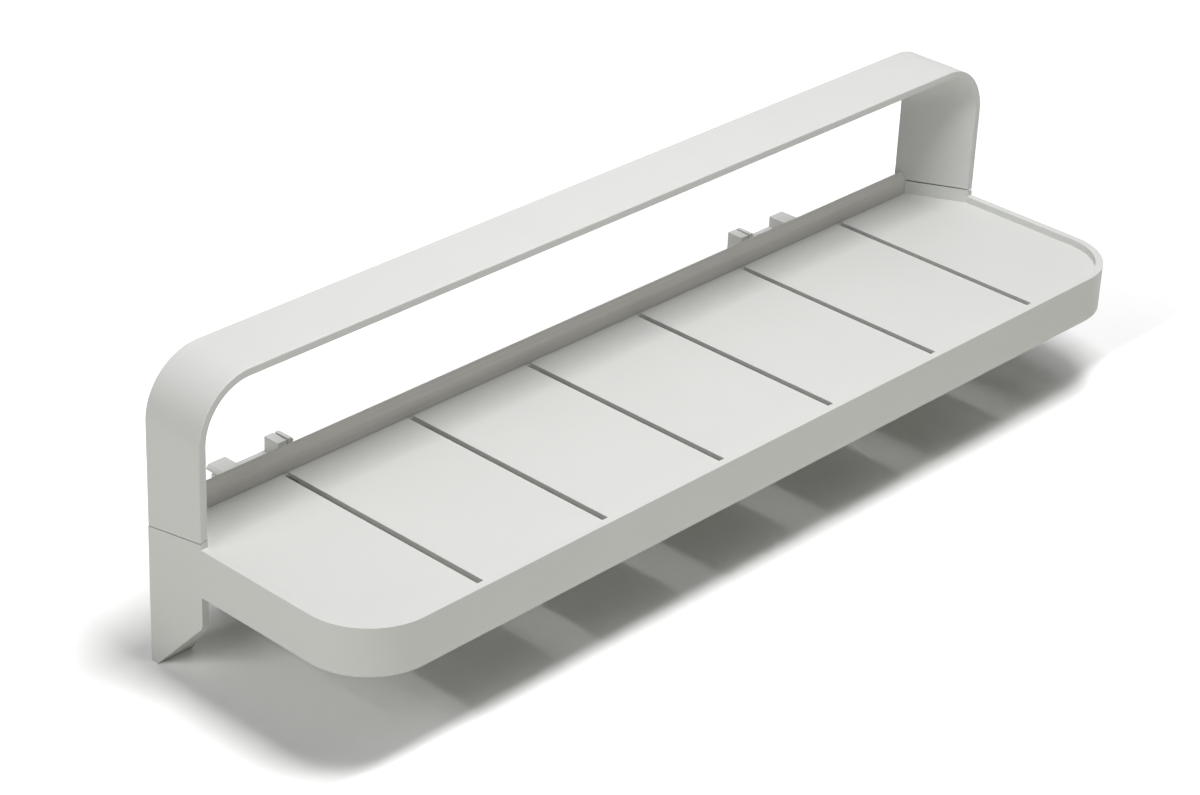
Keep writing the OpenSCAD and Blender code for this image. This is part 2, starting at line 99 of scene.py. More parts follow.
class TableSizes(bpy.types.PropertyGroup):
    """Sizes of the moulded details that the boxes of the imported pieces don't give"""

    corner: length_property("Corner radius", "Plan radius of the tray's two front corners", 57)
    rim: length_property("Rim", "Width of the rim round the tray", 6.5)
    step: length_property("Step", "Drop from the rim to the floor", 6)
    floor: length_property("Floor", "Thickness of the floor", 3.5)
    rim_height: length_property("Rim height", "Height of the rim above the bracket plates", 35)
    apron: length_property("Apron", "Height of the outer apron", 40.5)
    apron_wall: length_property("Apron wall", "Thickness of the apron below the floor", 4)
    recess_back: length_property("Recess back", "From the back face to the tray's recess", 9.7)
    wall_front: length_property("Wall front", "From the back face to the front of the tray's rear wall", 8.45)
    wall_back: length_property("Wall back", "From the back face to the back of the tray's rear wall", 5.45)
    slot: length_property("Slot", "Width of a drain slot", 6)
    slot_pitch: length_property("Slot pitch", "Distance from one drain slot to the next", 130)
    slot_margin: length_property("Slot margin", "From the tray's front to the end of a drain slot", 12)
    slots: IntProperty(name="Slots", description="Number of drain slots", default=6, min=1, max=8)
    rib: length_property("Rib", "Thickness of the ribs under the floor", 2.4)
    rib_drop: length_property("Rib drop", "Height of the ribs under the floor", 18)
    rib_back: length_property("Rib back", "From the back face to the ribs beside the slots", 18.1)
    long_ribs: IntProperty(name="Long ribs", description="Rib rows in front of the first", default=2, min=0)
    slot_lip: length_property("Slot lip", "From a slot's edge to the rib beside it", 3)
    boss: length_property("Boss", "Radius of the bosses that take the bracket screws", 6.2)
    depth: length_property("Leg depth", "Depth of a leg and of the hoop, front to back", 59.5)
    nose: length_property("Nose", "Thickness of a leg and of the hoop at the front edge", 6.5)
    heel: length_property("Heel", "Thickness of a leg and of the hoop at the back", 38)
    hoop_bend: length_property("Hoop bend", "Outer radius of the hoop's corners", 50)
    toe_start: length_property("Toe start", "Drop from the plates to the start of the slanted toe", 32)
    toe_flat: length_property("Toe flat", "Flat length at the bottom of a toe", 6.5)
    toe_bend: length_property("Toe bend", "Radius where a leg's front edge turns into its toe", 9)
    seam: length_property("Seam", "Height of the seam on the inner faces of the legs", 41.4)
    seam_gap: length_property("Seam gap", "Width of the seam between hoop and tray", 0.9)
    seam_tilt: FloatProperty(
        name="Seam tilt",
        description="Fall of the seam towards the outside",
        default=math.radians(20),
        subtype="ANGLE",
    )
    rail_lean: length_property("Rail lean", "Lean of the rail's front face from foot to top", 4)
    rail_edge: length_property("Rail edge", "Width of the rail's top edge", 1.2)
    rail_bevel: length_property("Rail bevel", "Drop of the rail's bevel behind its top edge", 5)
    rail_wall: length_property("Rail wall", "Wall thickness of the rail", 1.8)
    rail_lip: length_property("Rail lip", "Thickness of the lip that hangs before the tray's rear wall", 1.2)
    rail_gap: length_property("Rail gap", "Gap between the rail and what it meets", 0.3)
    rail_screw_z: length_property("Rail screw height", "Height of the rail screws above the plates", 13)
    rail_screw_inset: length_property("Rail screw inset", "From a leg to the nearest rail screw", 37)
    rail_hole: length_property("Rail hole", "Radius of the holes for the rail screws", 2.3)
    sink_rim: length_property("Sink rim", "Outer radius of a rail screw's countersink", 3.75)
    sink_foot: length_property("Sink foot", "Inner radius of a rail screw's countersink", 2.05)
    sink_depth: length_property("Sink depth", "Depth of a rail screw's countersink", 1.75)
    rail_screws: IntProperty(name="Rail screws", description="Screws along the rail", default=6, min=2)
    fillet: length_property("Fillet", "Radius at the foot of the rim's inner face", 1.0)
    wall: length_property("Wall", "Wall thickness of the legs and of the hoop beside the rear covers", 3.1)
    recess: length_property("Recess", "Depth of the recess that takes a rear cover", 2.9)
    recess_stop: length_property("Recess stop", "From the seam to the end of a rear cover's recess", 4)
    edge: length_property("Edge", "Radius of the visible outer edges", 0.9)
    fine_edge: length_property("Fine edge", "Radius of the edges of rail, plates and underside", 0.4)
    slot_edge: length_property("Slot edge", "Radius of the edges along the drain slots", 1.0)
    seam_edge: length_property("Seam edge", "Radius of the edges along the seams", 0.3)
    soft_edge: length_property("Soft edge", "Radius of the apron's lower edge", 1.0)


class BracketSizes(bpy.types.PropertyGroup):
    """Sizes of the brackets, their jaws and the sprung tongues"""

    plate: length_property("Plate", "Thickness of a bracket plate", 5.5)
    corner: length_property("Corner", "Plan radius of a plate's front corners", 8)
    hook_inset: length_property("Hook inset", "From a plate's outer edge to the plain jaw", 14)
    hook_foot: length_property("Hook foot", "Width of the plain jaw's foot", 7)
    hook_height: length_property("Hook height", "Height of the plain jaw above the plate", 10)
    hook_lip: length_property("Hook lip", "Overhang of the plain jaw's lip", 12)
    lip_thickness: length_property("Lip thickness", "Thickness of the plain jaw's lip", 4.5)
    hook_length: length_property("Hook length", "Length of the plain jaw along the bracket", 20)
    jaw_length: length_property("Jaw length", "Length of the forked jaw along the bracket", 16)
    fork: length_property("Fork", "Width of the fixed half of the forked jaw", 9)
    fork_height: length_property("Fork height", "Height of the forked jaw above the plate", 12.5)
    slit: length_property("Slit", "Width of the slit in the forked jaw", 2)
    tongue: length_property("Tongue", "Thickness of a sprung tongue", 5)
    tongue_gap: length_property("Tongue gap", "Gap under a sprung tongue", 0.5)
    barb: length_property("Barb", "Overhang of the barb at the top of a tongue", 1.2)
    barb_height: length_property("Barb height", "Height of the barb", 4)
    foot: length_property("Foot", "Radius of the round foot of a tongue", 1.9)
    foot_edge: length_property("Foot edge", "Radius of the edges of the round foot and of its neck", 0.1)
    foot_gap: length_property("Foot gap", "Play of the round foot in its bore", 0.05)
    neck: length_property("Neck", "Width of the neck above the round foot", 1.6)
    screw_inset: length_property("Screw inset", "From a plate's inner edge to the first row of screws", 12)
    screw_row: length_property("Screw row", "From the back face to the rear screws", 20)
    screw_pitch: length_property("Screw pitch", "Distance between two screws", 30)
    screw_hole: length_property("Screw hole", "Radius of the hole for a screw", 2.8)
    screw_seat: length_property("Screw seat", "Radius of the recess for a screw's head", 4.9)
    head: length_property("Head", "Depth of the recess for a screw's head", 2.6)


class TableColours(bpy.types.PropertyGroup):
    """Colours of the finishes"""

    shell: colour_property("Shell", "Off-white of the moulded pieces", "D5D6D3")
    rail: colour_property("Rail", "Warm grey of the rear rail", "D0CDC8")
    zinc: colour_property("Zinc", "Zinc-plated steel of screws and tie tubes", "B4B7BA")
    brass: colour_property("Brass", "Turned brass of the threaded inserts", "C9A55B")
    floor: colour_property("Studio floor", "Floor and backdrop", "F4F2EB")


def sizes():
    return bpy.context.scene.table_sizes


def jaws():
    return bpy.context.scene.bracket_sizes


def colours():
    return bpy.context.scene.table_colours


# Modelling helpers


def deselect_all():
    if bpy.context.active_object and bpy.context.active_object.mode != "OBJECT":
        bpy.ops.object.mode_set(mode="OBJECT")
    bpy.ops.object.select_all(action="DESELECT")


def make_active(piece):
    deselect_all()
    piece.select_set(True)
    bpy.context.view_layer.objects.active = piece


def name_new(name):
    piece = bpy.context.active_object
    piece.name = name
    piece.data.name = name
    bpy.ops.object.transform_apply(location=True, rotation=True, scale=True)
    return piece


def add_block(name, low, high):
    """A block between two corners, as a start or as a cutter"""
    deselect_all()
    low, high = Vector(low), Vector(high)
    bpy.ops.mesh.primitive_cube_add(size=1, location=(low + high) / 2, scale=high - low)
    return name_new(name)


def add_outline(name, corners, place=Matrix.Identity(4)):
    """A flat face with the given corners in its own plane, set into place"""
    deselect_all()
    bpy.ops.mesh.primitive_circle_add(vertices=len(corners), radius=1, fill_type="NGON")
    piece = name_new(name)
    for vertex, corner in zip(piece.data.vertices, corners):
        vertex.co = place @ Vector((*corner, 0))
    return piece


def add_rod(name, radius, start, end, vertices=48):
    """A round rod between two points, as a start or as a cutter"""
    deselect_all()
    start, end = Vector(start), Vector(end)
    turn = (end - start).to_track_quat("Z", "Y").to_euler()
    bpy.ops.mesh.primitive_cylinder_add(
        vertices=vertices,
        radius=radius,
        depth=(end - start).length,
        location=(start + end) / 2,
        rotation=turn,
    )
    return name_new(name)


def middle(element):
    """Centre of a vertex, an edge or a face"""
    if isinstance(element, bmesh.types.BMVert):
        return element.co
    return sum((v.co for v in element.verts), Vector()) / len(element.verts)


def is_level(face):
    return abs(face.normal.z) > 0.99


def pick(kind, test):
    """Picks, in edit mode, the verts, edges or faces of the active piece that pass the test"""
    piece = bpy.context.active_object
    if piece.mode != "EDIT":
        bpy.ops.object.mode_set(mode="EDIT")
    bpy.ops.mesh.select_mode(type={"verts": "VERT", "edges": "EDGE", "faces": "FACE"}[kind])
    bpy.ops.mesh.select_all(action="DESELECT")
    cage = bmesh.from_edit_mesh(piece.data)
    cage.normal_update()
    for element in getattr(cage, kind):
        if test(element):
            element.select_set(True)
    cage.select_flush_mode()
    bmesh.update_edit_mesh(piece.data)


def pick_all():
    bpy.ops.object.mode_set(mode="EDIT")
    bpy.ops.mesh.select_all(action="SELECT")


def extrude(x=0.0, y=0.0, z=0.0):
    bpy.ops.mesh.extrude_region_move(TRANSFORM_OT_translate={"value": (x, y, z)})


def extrude_outline(**way):
    """Makes the active flat outline a solid, open to more modelling in edit mode"""
    pick("faces", lambda face: True)
    extrude(**way)


def shift(x=0.0, y=0.0, z=0.0):
    bpy.ops.transform.translate(value=(x, y, z))


def round_corners(radius, segments):
    """Rounds the picked corners of a flat outline"""
    bpy.ops.mesh.bevel(offset=radius, segments=segments, affect="VERTICES", clamp_overlap=False)


def point_outwards():
    """Closes doubles and turns every face outwards, then leaves edit mode"""
    pick_all()
    bpy.ops.mesh.remove_doubles(threshold=SAME / 10)
    bpy.ops.mesh.normals_make_consistent(inside=False)
    bpy.ops.object.mode_set(mode="OBJECT")


def cut_away(point, normal):
    """Cuts what is picked by a plane, removes the side that the normal points to and closes the cut"""
    bpy.ops.mesh.bisect(plane_co=point, plane_no=normal, use_fill=True, clear_outer=True)


def apply_modifier(piece, kind, **settings):
    make_active(piece)
    modifier = piece.modifiers.new(kind.title(), kind)
    for key, value in settings.items():
        setattr(modifier, key, value)
    bpy.ops.object.modifier_apply(modifier=modifier.name)


def combine(piece, others, operation):
    """Adds other solids to a piece, or cuts them out of it, and removes them"""
    for other in others:
        apply_modifier(piece, "BOOLEAN", operation=operation, object=other, solver="EXACT")
        bpy.data.objects.remove(other)


def join(pieces, name):
    """Joins pieces that don't have to be one solid"""
    make_active(pieces[0])
    for piece in pieces:
        piece.select_set(True)
    bpy.ops.object.join()
    bpy.context.active_object.name = name
    bpy.context.active_object.data.name = name
    return bpy.context.active_object


def dissolve_flat(piece):
    """Removes the leftover edges inside flat faces"""
    make_active(piece)
    pick_all()
    bpy.ops.mesh.remove_doubles(threshold=SAME)
    bpy.ops.mesh.dissolve_limited(angle_limit=math.radians(0.4), delimit={"NORMAL"})
    bpy.ops.object.mode_set(mode="OBJECT")


def round_edges(piece, radius_at, sharp=25, split_at=()):
    """Rounds every edge bent by more than sharp degrees by the radius that radius_at gives at its middle"""
    dissolve_flat(piece)
    # A level face with many corners is split here, so that no face has to reach round a slot
    many = 12
    for x in split_at:
        pick("faces", lambda face: is_level(face) and len(face.verts) > many)
        bpy.ops.mesh.bisect(plane_co=(x, 0, 0), plane_no=(1, 0, 0))
    bpy.ops.object.mode_set(mode="OBJECT")
    bpy.ops.object.shade_smooth()
    s = sizes()
    largest = max(s.edge, s.soft_edge, s.slot_edge, s.fillet)
    cage = bmesh.new()
    cage.from_mesh(piece.data)
    layers = cage.edges.layers.float
    weight = layers.get("bevel_weight_edge") or layers.new("bevel_weight_edge")
    for line in cage.edges:
        if len(line.link_faces) == 2 and line.calc_face_angle(0) > math.radians(sharp):
            line[weight] = radius_at(middle(line)) / largest
    cage.to_mesh(piece.data)
    cage.free()
    apply_modifier(
        piece,
        "BEVEL",
        width=largest,
        segments=3,
        limit_method="WEIGHT",
        use_clamp_overlap=True,
        miter_outer="MITER_ARC",
    )
    apply_modifier(piece, "WEIGHTED_NORMAL", weight=100, keep_sharp=True)


def finish_piece(piece, body, slot_name, *nodes):
    """Gives a piece its finish and sets it on its body in place of its CAD nodes"""
    piece.data.materials.clear()
    piece.data.materials.append(finish(slot_name))
    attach(piece, body)
    if nodes:
        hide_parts(*nodes)


# Materials

# Most of a noise pattern lies between these two values
PATTERN_RANGE = (0.3, 0.7)
PLASTIC_IOR = 1.5
WHITE = (1, 1, 1, 1)


def add_node(tree, kind, links=(), **settings):
    """Adds a node, sets its sockets and properties by name, and links its inputs"""
    made = tree.nodes.new(kind)
    for key, value in settings.items():
        if hasattr(made, key):
            setattr(made, key, value)
        else:
            made.inputs[key.replace("_", " ")].default_value = value
    for socket, source in links:
        tree.links.new(source, made.inputs[socket])
    return made


def new_material(name):
    material = bpy.data.materials.new(name)
    material.use_nodes = True
    material.node_tree.nodes.clear()
    return material, material.node_tree


def shade(colour, share):
    """A colour with its brightness changed by a share, with full alpha"""
    return (*(min(1.0, c * (1 + share)) for c in colour), 1.0)


def object_pattern(tree, grain_mm, stretch=(1, 1, 1), detail=3.0):
    """Noise on Object coordinates whose grains are grain_mm apart, stretched along an axis"""
    place = add_node(tree, "ShaderNodeTexCoord")
    mapping = add_node(tree, "ShaderNodeMapping", [("Vector", place.outputs["Object"])], Scale=stretch)
    return add_node(
        tree,
        "ShaderNodeTexNoise",
        [("Vector", mapping.outputs["Vector"])],
        Scale=1 / (grain_mm * MM),
        Detail=detail,
        Roughness=0.55,
    )


def end_in_shader(tree, base, tones, roughness, relief=None, gain=None, **settings):
    """Works out colour, roughness and fine relief from patterns and ends the material in one shader

    tones is a pattern with the shares by which its lows and highs change the base colour, roughness is a
    pattern with its two values, relief is a pattern with its strength and its depth in millimetres, and
    gain is a socket that brightens the colour.
    """
    pattern, *shares = tones
    colour = add_node(tree, "ShaderNodeValToRGB", [("Fac", pattern.outputs["Fac"])])
    for element, position, share in zip(colour.color_ramp.elements, PATTERN_RANGE, shares):
        element.position = position
        element.color = shade(base, share)
    if gain is not None:
        links = [("Color", colour.outputs["Color"]), ("Value", gain)]
        colour = add_node(tree, "ShaderNodeHueSaturation", links)
    pattern, smooth, dull = roughness
    rough = add_node(
        tree,
        "ShaderNodeMapRange",
        [("Value", pattern.outputs["Fac"])],
        From_Min=PATTERN_RANGE[0],
        From_Max=PATTERN_RANGE[1],
        To_Min=smooth,
        To_Max=dull,
    )
    links = [("Base Color", colour.outputs["Color"]), ("Roughness", rough.outputs["Result"])]
    if relief is not None:
        pattern, strength, depth_mm = relief
        height = [("Height", pattern.outputs["Fac"])]
        bump = add_node(tree, "ShaderNodeBump", height, Strength=strength, Distance=depth_mm * MM)
        links.append(("Normal", bump.outputs["Normal"]))
    shader = add_node(tree, "ShaderNodeBsdfPrincipled", links, **settings)
    add_node(tree, "ShaderNodeOutputMaterial", [("Surface", shader.outputs["BSDF"])])


def moulded_asa():
    """ASA plastic from a spark-eroded injection mould: an even off-white with a fine dry grain"""
    material, tree = new_material("moulded_asa")
    # The moulding flows a little unevenly, which shows as a very faint clouding about 80 mm across
    cloud = object_pattern(tree, 80)
    # The mould's grain is about 0.15 mm, drawn at 0.7 mm so that it shows at all at arm's length
    grain = object_pattern(tree, 0.7, detail=2.0)
    end_in_shader(
        tree,
        colours().shell,
        (cloud, -0.012, 0.008),
        (grain, 0.5, 0.6),
        relief=(grain, 0.06, 0.08),
        IOR=PLASTIC_IOR,
    )
    return material


def painted_extrusion():
    """Powder-painted aluminium extrusion: satin grey-white, with the faint draw lines of the die along X"""
    material, tree = new_material("painted_extrusion")
    # Draw lines are about 1.2 mm apart and run some 300 mm before they fade
    lines = object_pattern(tree, 1.2, stretch=(0.004, 1, 1), detail=4.0)
    cloud = object_pattern(tree, 40, stretch=(0.2, 1, 1))
    # Painted light: the colour is brightened towards the top of the face, where it catches more light, so the
    # rail reads a little lighter towards its top
    place = add_node(tree, "ShaderNodeTexCoord")
    split = add_node(tree, "ShaderNodeSeparateXYZ", [("Vector", place.outputs["Object"])])
    face_low, face_high, gain = 34 * MM, 47 * MM, 1.32
    painted_top_light = add_node(
        tree,
        "ShaderNodeMapRange",
        [("Value", split.outputs["Z"])],
        From_Min=face_low,
        From_Max=face_high,
        To_Min=1.0,
        To_Max=gain,
    )
    end_in_shader(
        tree,
        colours().rail,
        (lines, -0.06, 0.05),
        (cloud, 0.34, 0.44),
        relief=(lines, 0.25, 0.06),
        # This gain paints light onto the upper part of the rail's face
        gain=painted_top_light.outputs["Result"],
        IOR=PLASTIC_IOR,
    )
    return material


def plated_steel():
    """Zinc-plated steel: a cool dull metal with a spangle a few millimetres across"""
    material, tree = new_material("plated_steel")
    spangle = object_pattern(tree, 3)
    end_in_shader(tree, colours().zinc, (spangle, -0.12, 0.08), (spangle, 0.28, 0.42), Metallic=1.0)
    return material


def turned_brass():
    """Turned brass: a warm metal with fine turning marks round the insert's axis"""
    material, tree = new_material("turned_brass")
    marks = object_pattern(tree, 0.6, stretch=(0.3, 0.3, 1))
    end_in_shader(tree, colours().brass, (marks, -0.1, 0.06), (marks, 0.22, 0.36), Metallic=1.0)
    return material


MATERIALS = {"shell": moulded_asa, "rail": painted_extrusion, "steel": plated_steel, "brass": turned_brass}
made_materials = {}


def finish(slot_name):
    """The material of a slot, made once"""
    if slot_name not in made_materials:
        made_materials[slot_name] = MATERIALS[slot_name]()
    return made_materials[slot_name]


# Shapes that legs and hoop share


def thickness(back):
    """Thickness of a leg or of the hoop at a distance in front of the back face"""
    s = sizes()
    return s.heel - (s.heel - s.nose) * back / s.depth


def wedge_angle():
    """How far the inner side of a leg turns from front-to-back"""
    s = sizes()
    return math.atan((s.heel - s.nose) / s.depth)


def wedge_corners(wall=0.0, front=None):
    """Corners of the wedge section as (inward, forward), or inside a wall, of a cutter from the back"""
    front = sizes().depth if front is None else front
    back = -PAST if wall else 0.0
    return [(wall, back), (wall, front), (thickness(front) - wall, front), (thickness(back) - wall, back)]


def upright_place(x, y):
    """Sets an outline upright: its first axis runs along X and its second upwards"""
    return Matrix(((1, 0, 0, x), (0, 0, -1, y), (0, 1, 0, 0), (0, 0, 0, 1)))


def leg_place(side, height):
    """Sets a section on a leg: inward becomes towards the middle, forward becomes -Y"""
    half = tray_high.x
    return Matrix(((-side, 0, 0, side * half), (0, -1, 0, 0), (0, 0, 1, height), (0, 0, 0, 1)))


def seam_plane(side, lift):
    """A point and the upward normal of the seam plane on one side, lifted by lift"""
    s = sizes()
    normal = Euler((0, s.seam_tilt, wedge_angle())).to_matrix() @ Vector((0, 0, 1))
    normal.x *= side
    point = Vector((side * (tray_high.x - s.nose), -s.depth, s.seam + lift))
    return point, normal


def add_leg(side, name, corners, low, high):
    """A straight length of a section down one leg"""
    leg = add_outline(name, corners, leg_place(side, low))
    extrude_outline(z=high - low)
    return leg


def sweep_hoop(name, corners):
    """Sweeps a section up the right leg, round both bends and down the left leg"""
    s = sizes()
    bend_x, bend_z = hoop_high.x - s.hoop_bend, hoop_high.z - s.hoop_bend
    low = s.seam - s.heel
    hoop = add_outline(name, corners, leg_place(1, low))
    extrude_outline(z=bend_z - low)
    spin_bend(bend_x, bend_z)
    extrude(x=-2 * bend_x)
    spin_bend(-bend_x, bend_z)
    extrude(z=low - bend_z)
    point_outwards()
    return hoop


def spin_bend(x, z):
    """Turns the picked end of the hoop through a quarter circle, from the right over the top to the left"""
    bpy.ops.mesh.spin(steps=32, angle=math.radians(90), center=(x, 0, z), axis=(0, 1, 0))


# The tray

CORNER_STEPS = 40


def tray_shell():
    """Outer apron, rim, floor and the hollow underside, from one plan outline"""
    s = sizes()
    half, front = tray_high.x, tray_low.y
    base = s.rim_height - s.apron
    tray = add_outline(
        "tray_moulding",
        [(-half, front), (half, front), (half, -s.wall_back), (-half, -s.wall_back)],
        Matrix.Translation((0, 0, base)),
    )
    pick("verts", lambda v: v.co.y < front / 2)
    round_corners(s.corner, CORNER_STEPS)
    extrude_outline(z=s.apron)
    recess(s.rim_height, s.rim, -s.step)
    recess(base, s.apron_wall, s.apron - s.step - s.floor)
    point_outwards()
    return tray


def recess(height, wall, drop):
    """Sinks the flat face at a height, a wall's width inside its outline and up to the rear wall"""
    s = sizes()

    def at_height(element):
        return abs(middle(element).z - height) < SAME

    pick("faces", lambda face: at_height(face) and is_level(face))
    bpy.ops.mesh.inset(thickness=wall)
    back = -s.wall_back - wall
    pick("verts", lambda v: at_height(v) and abs(v.co.y - back) < SAME)
    shift(y=-s.wall_front - back)
    # The face inside the wall is the only one with all the corners of the rounded outline
    pick("faces", lambda face: at_height(face) and len(face.verts) > CORNER_STEPS)
    extrude(z=drop)


def tray_leg(side):
    """A leg with its foot cut to a slanted toe, still too long at its top"""
    s = sizes()
    leg = add_leg(side, "leg", wedge_corners(), tray_low.z, s.seam + s.heel)
    toe_front = Vector((0, -s.depth, -s.toe_start))
    toe_back = Vector((0, -s.toe_flat, tray_low.z))
    slope = toe_back - toe_front
    pick_all()
    cut_away(toe_front, Vector((0, slope.z, -slope.y)))
    pick("edges", lambda e: (middle(e) - toe_front).yz.length < SAME)
    offset = s.toe_bend * slope_share(slope)
    bpy.ops.mesh.bevel(offset=offset, segments=8, affect="EDGES", clamp_overlap=False)
    point_outwards()
    return leg


def slope_share(slope):
    """Ratio of a bevel's offset to its radius where an upright edge turns into the slope"""
    return math.tan(slope.angle(Vector((0, 0, -1))) / 2)


def seam_cutter(side):
    """Everything above the seam on one leg"""
    s = sizes()
    x0, x1 = sorted((side * (tray_high.x - s.heel - 2 * PAST), side * (tray_high.x + PAST)))
    cutter = add_block("cutter", (x0, -s.depth - PAST, s.seam - s.heel), (x1, PAST, s.seam + 2 * s.heel))
    point, normal = seam_plane(side, 0)
    pick_all()
    cut_away(point, -normal)
    point_outwards()
    return cutter


def cover_cutter(side):
    """The recess for a leg's rear cover"""
    s = sizes()
    cutter = add_leg(side, "cutter", wedge_corners(s.wall, s.recess), tray_low.z + s.wall, s.seam + s.heel)
    point, normal = seam_plane(side, -s.recess_stop / math.cos(s.seam_tilt))
    pick_all()
    cut_away(point, normal)
    point_outwards()
    return cutter


def rear_wall():
    """The wall behind the floor, which stands up to the seam between the legs"""
    s = sizes()
    into_leg = 0.5 * MM
    front, back = (tray_high.x - thickness(y) + into_leg for y in (s.wall_front, s.wall_back))
    corners = [(-front, -s.wall_front), (front, -s.wall_front), (back, -s.wall_back), (-back, -s.wall_back)]
    wall = add_outline("wall", corners, Matrix.Translation((0, 0, s.rim_height - s.apron)))
    extrude_outline(z=s.seam - s.seam_gap - s.rim_height + s.apron)
    point_outwards()
    return wall


def slot_places():
    """Middles of the drain slots along X"""
    s = sizes()
    return [(i - (s.slots - 1) / 2) * s.slot_pitch for i in range(s.slots)]


def slot_cutters():
    """One cutter that goes through the floor at every drain slot"""
    s = sizes()
    front = tray_low.y + s.slot_margin
    floor_top = s.rim_height - s.step
    blocks = [
        add_block(
            "cutter",
            (x - s.slot / 2, front, floor_top - 2 * s.floor),
            (x + s.slot / 2, -s.recess_back, floor_top + s.floor),
        )
        for x in slot_places()
    ]
    return join(blocks, "cutter")


def bracket_notches():
    """Room for the two bracket plates in the foot of the rear wall"""
    s, b = sizes(), jaws()
    gap = s.rail_gap
    return [
        add_block(
            "cutter",
            (side * (bracket_low.x - gap), -s.recess_back, -2 * b.plate),
            (side * (bracket_plate_edge() + gap), PAST, gap),
        )
        for side in SIDES.values()
    ]


def bracket_plate_edge():
    """Outer edge of the right bracket's plate, inside the tip of its hooked jaw"""
    b = jaws()
    return bracket_high.x - (b.hook_foot + b.hook_lip - b.hook_inset)


def on_seam(place, lift=0.0):
    """Tells whether a place lies in the seam plane of either leg, lifted by lift"""
    for side in SIDES.values():
        point, normal = seam_plane(side, lift)
        if abs((place - point).dot(normal)) < NEAR / 2 and abs(place.x) > tray_high.x - sizes().heel - MM:
            return True
    return False


def tray_edge_radius(place):
    """Radius of an edge of the tray by where it runs"""
    s = sizes()
    if on_seam(place):
        return s.seam_edge
    base, floor_top = s.rim_height - s.apron, s.rim_height - s.step
    behind_front = place.y > tray_low.y + s.apron_wall / 2
    if abs(place.z - base) < NEAR and place.y < -s.depth:
        inside = behind_front and abs(place.x) < tray_high.x - s.apron_wall / 2
        return s.fine_edge if inside else s.soft_edge
    if base + MM < place.z < floor_top - NEAR and behind_front:
        return s.fine_edge
    if abs(place.z - floor_top) < NEAR:
        if place.y > -s.recess_back - NEAR:
            return 0.0
        return s.slot_edge if any(abs(place.x - x) < s.slot for x in slot_places()) else s.fillet
    return s.edge


def underside_ribs():
    """Ribs beside every drain slot, ribs along the table that leave the slots free, and bosses"""
    s = sizes()
    top = s.rim_height - s.step - s.floor
    low, high = top - s.rib_drop, top + OVERLAP
    beside = s.slot / 2 + s.slot_lip + s.rib / 2
    front = tray_low.y + s.apron_wall - OVERLAP
    cross = add_block("rib", (-s.rib / 2, front, low), (s.rib / 2, -s.rib_back, high))
    cross_places = [x + way * beside for x in slot_places() for way in (-1, 1)]
    ribs = [copy_to(cross, x) for x in cross_places]
    ends = [-tray_high.x + s.apron_wall, *cross_places, tray_high.x - s.apron_wall]
    for x0, x1 in zip(ends[::2], ends[1::2]):
        for i in range(s.long_ribs + 1):
            y = -s.depth - s.rib - i * (-tray_low.y - s.depth) / (s.long_ribs + 1)
            ribs.append(add_block("rib", (x0, y, low), (x1, y + s.rib, high)))
    bpy.data.objects.remove(cross)
    boss = add_rod("boss", s.boss, (0, 0, 0), (0, 0, high))
    ribs += [copy_to(boss, x, y) for x, y in bracket_screws()]
    bpy.data.objects.remove(boss)
    return join(ribs, "underside_ribs")


def copy_to(piece, x, y=0.0):
    """A copy of a piece with a mesh of its own, moved along X and Y"""
    make_active(piece)
    bpy.ops.object.duplicate_move(TRANSFORM_OT_translate={"value": (x, y, 0)})
    return name_new(piece.name)


def bracket_screws():
    """Where the screws of both brackets stand"""
    b = jaws()
    rows = [bracket_low.x + b.screw_inset + i * b.screw_pitch for i in (0, 1)]
    return [(way * x, -b.screw_row - j * b.screw_pitch) for way in (-1, 1) for x in rows for j in (0, 1)]


class TABLE_OT_tray(bpy.types.Operator):
    """Model the tray with its apron, rim, slotted floor, rear wall and two legs"""

    bl_idname = "table.tray"
    bl_label = "Tray"

    def execute(self, context):
        tray = tray_shell()
        combine(tray, [tray_leg(side) for side in SIDES.values()] + [rear_wall()], "UNION")
        cutters = [seam_cutter(side) for side in SIDES.values()] + [slot_cutters()] + bracket_notches()
        cutters += [cover_cutter(side) for side in SIDES.values()]
        combine(tray, cutters, "DIFFERENCE")
        round_edges(tray, tray_edge_radius, split_at=slot_places())
        finish_piece(tray, SHELF, "shell", "tray", "tray_floor")
        ribs = underside_ribs()
        make_active(ribs)
        bpy.ops.object.shade_smooth_by_angle(angle=math.radians(30))
        finish_piece(ribs, SHELF, "shell")
        return {"FINISHED"}


class TABLE_OT_hoop(bpy.types.Operator):
    """Model the hoop with its wedge section, its slanted ends and the recess for its rear cover"""

    bl_idname = "table.hoop"
    bl_label = "Hoop"

    def execute(self, context):
        s = sizes()
        hoop = sweep_hoop("hoop_moulding", wedge_corners())
        cutter = sweep_hoop("cutter", wedge_corners(s.wall, s.recess))
        for piece, lift in ((hoop, s.seam_gap), (cutter, s.seam_gap + s.recess_stop / math.cos(s.seam_tilt))):
            make_active(piece)
            for side in SIDES.values():
                pick("faces", lambda face: below_bend(face, side))
                point, normal = seam_plane(side, lift)
                cut_away(point, -normal)
            point_outwards()
        combine(hoop, [cutter], "DIFFERENCE")
        round_edges(hoop, lambda place: s.seam_edge if on_seam(place, s.seam_gap) else s.edge)
        finish_piece(hoop, SHELF, "shell", "hoop")
        return {"FINISHED"}


def below_bend(face, side):
    """Tells whether a face of the hoop lies wholly on one leg, below the bend"""
    bend_z = hoop_high.z - sizes().hoop_bend
    return all(v.co.x * side > hoop_high.x / 2 and v.co.z < bend_z + SAME for v in face.verts)


